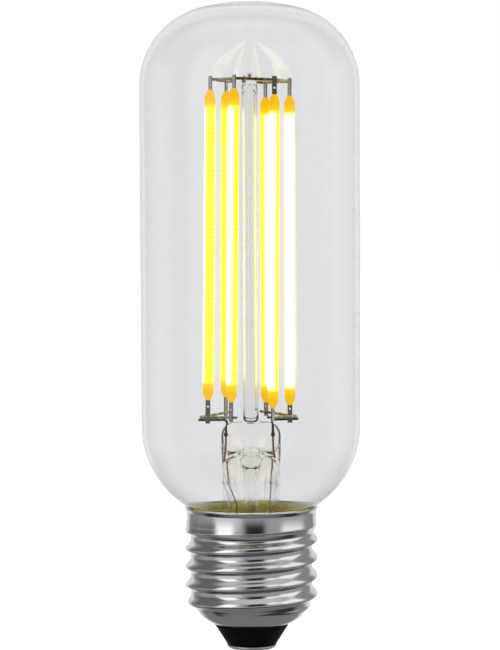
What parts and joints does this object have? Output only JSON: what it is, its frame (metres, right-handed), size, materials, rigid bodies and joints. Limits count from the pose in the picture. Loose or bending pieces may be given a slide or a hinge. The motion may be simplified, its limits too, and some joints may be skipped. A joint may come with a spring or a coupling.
{
  "type": "tubular light bulb",
  "caption": "Clear glass tubular lamp with upright LED filaments on a glass stem, carried by a screw cap of the 27 mm class.",
  "frame": {"origin": "on the lamp's axis, at the lowest face of the centre contact", "axes": "+Z along the lamp's axis from the cap to the dome; -Y is the side seen in the picture, +X to its right"},
  "size_m": [0.0436, 0.0436, 0.1286],
  "materials": {
    "envelope_glass": "clear, polished",
    "stem_glass": "clear, fire polished",
    "filament_silicone": "yellow silicone, lit",
    "tab_nickel": "thin nickel strip",
    "frame_wire": "bronze tinted wire",
    "lead_steel": "dark drawn wire",
    "seal_copper": "copper clad wire",
    "cap_cement": "yellow-green cement, matt",
    "cap_nickel": "bright nickel plate",
    "black_glass": "black glass, glossy",
    "contact_nickel": "nickel plate",
    "board_laminate": "laminate with solder mask",
    "capacitor_sleeve": "shrunk sleeve",
    "chip_body": "moulded epoxy",
    "fuse_body": "flameproof lacquer"
  },
  "bodies": {
    "root": {"glass_envelope": "envelope_glass", "glass_stem": "stem_glass", "led_filament_1": "filament_silicone", "led_filament_2": "filament_silicone", "led_filament_3": "filament_silicone", "led_filament_4": "filament_silicone", "led_filament_5": "filament_silicone", "led_filament_6": "filament_silicone", "filament_top_tab_1": "tab_nickel", "filament_bottom_tab_1": "tab_nickel", "filament_top_tab_2": "tab_nickel", "filament_bottom_tab_2": "tab_nickel", "filament_top_tab_3": "tab_nickel", "filament_bottom_tab_3": "tab_nickel", "filament_top_tab_4": "tab_nickel", "filament_bottom_tab_4": "tab_nickel", "filament_top_tab_5": "tab_nickel", "filament_bottom_tab_5": "tab_nickel", "filament_top_tab_6": "tab_nickel", "filament_bottom_tab_6": "tab_nickel", "top_ring_wire": "frame_wire", "top_anchor_wire": "frame_wire", "left_bracket_wire": "frame_wire", "right_bracket_wire": "frame_wire", "left_inner_lead": "lead_steel", "right_inner_lead": "lead_steel", "left_seal_wire": "seal_copper", "right_seal_wire": "seal_copper", "left_outer_lead": "lead_steel", "right_outer_lead": "lead_steel", "cap_cement": "cap_cement", "screw_shell": "cap_nickel", "cap_insulator": "black_glass", "centre_contact": "contact_nickel", "driver_board": "board_laminate", "smoothing_capacitor": "capacitor_sleeve", "bridge_rectifier": "chip_body", "driver_chip": "chip_body", "fuse_resistor": "fuse_body", "neutral_wire": "lead_steel"}
  },
  "joints": []
}
